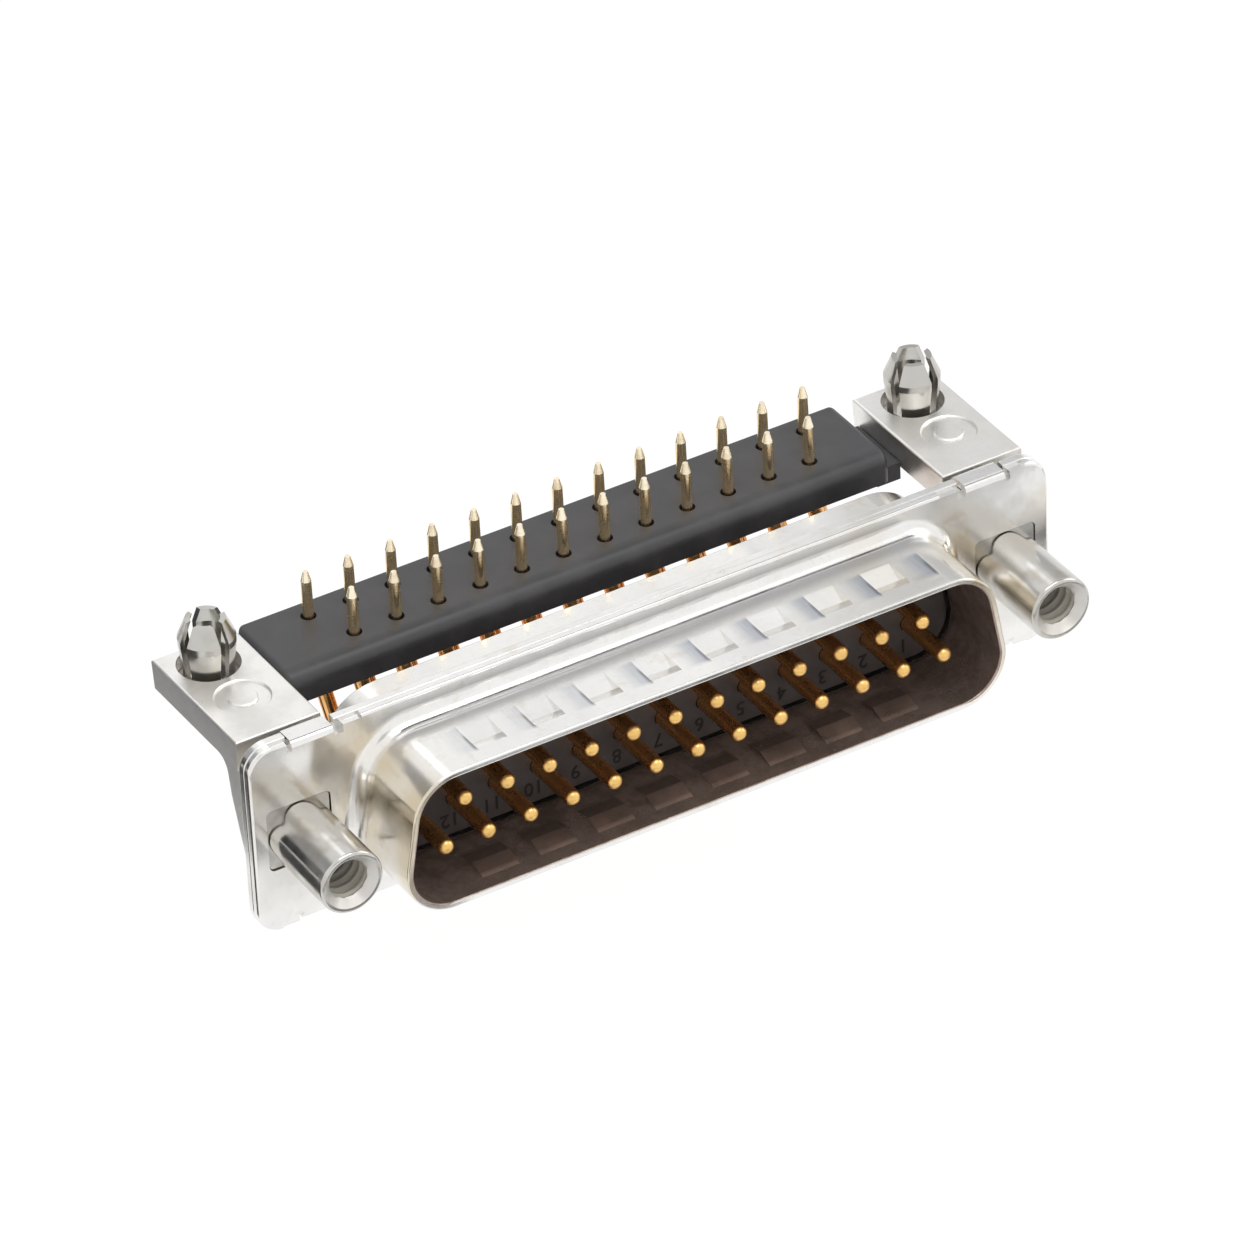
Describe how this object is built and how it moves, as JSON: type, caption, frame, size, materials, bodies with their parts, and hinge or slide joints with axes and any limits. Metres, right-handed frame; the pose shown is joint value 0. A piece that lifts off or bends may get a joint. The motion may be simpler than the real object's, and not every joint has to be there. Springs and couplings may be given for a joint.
{
  "type": "d-sub connector",
  "caption": "Right-angle board connector with pins inside a D-shaped drawn metal shell, bent tails held by a spacer bar, side brackets with split board locks, and threaded posts.",
  "frame": {"origin": "middle of the D-shaped opening, in the plane of the flange's front face", "axes": "+X along the contact rows, towards contact 1; -Y out of the mating side; +Z towards the circuit board"},
  "size_m": [0.053, 0.0179, 0.0152],
  "materials": {
    "shell_plating": "bright tin plating",
    "bracket_plating": "satin plating, fine speckle",
    "bright_nickel": "bright nickel plating",
    "contact_gold": "gold flash",
    "insulator_plastic": "black, satin",
    "spacer_plastic": "charcoal, satin"
  },
  "bodies": {
    "root": {"front_shell": "shell_plating", "rear_shell": "shell_plating", "front_insulator": "insulator_plastic", "rear_insulator": "insulator_plastic", "pin_spacer": "spacer_plastic", "contact_01": "contact_gold", "contact_02": "contact_gold", "contact_03": "contact_gold", "contact_04": "contact_gold", "contact_05": "contact_gold", "contact_06": "contact_gold", "contact_07": "contact_gold", "contact_08": "contact_gold", "contact_09": "contact_gold", "contact_10": "contact_gold", "contact_11": "contact_gold", "contact_12": "contact_gold", "contact_13": "contact_gold", "contact_14": "contact_gold", "contact_15": "contact_gold", "contact_16": "contact_gold", "contact_17": "contact_gold", "contact_18": "contact_gold", "contact_19": "contact_gold", "contact_20": "contact_gold", "contact_21": "contact_gold", "contact_22": "contact_gold", "contact_23": "contact_gold", "contact_24": "contact_gold", "contact_25": "contact_gold", "bracket_left": "bracket_plating", "boardlock_left": "bright_nickel", "screwlock_left": "bright_nickel", "bracket_right": "bracket_plating", "boardlock_right": "bright_nickel", "screwlock_right": "bright_nickel"}
  },
  "joints": []
}
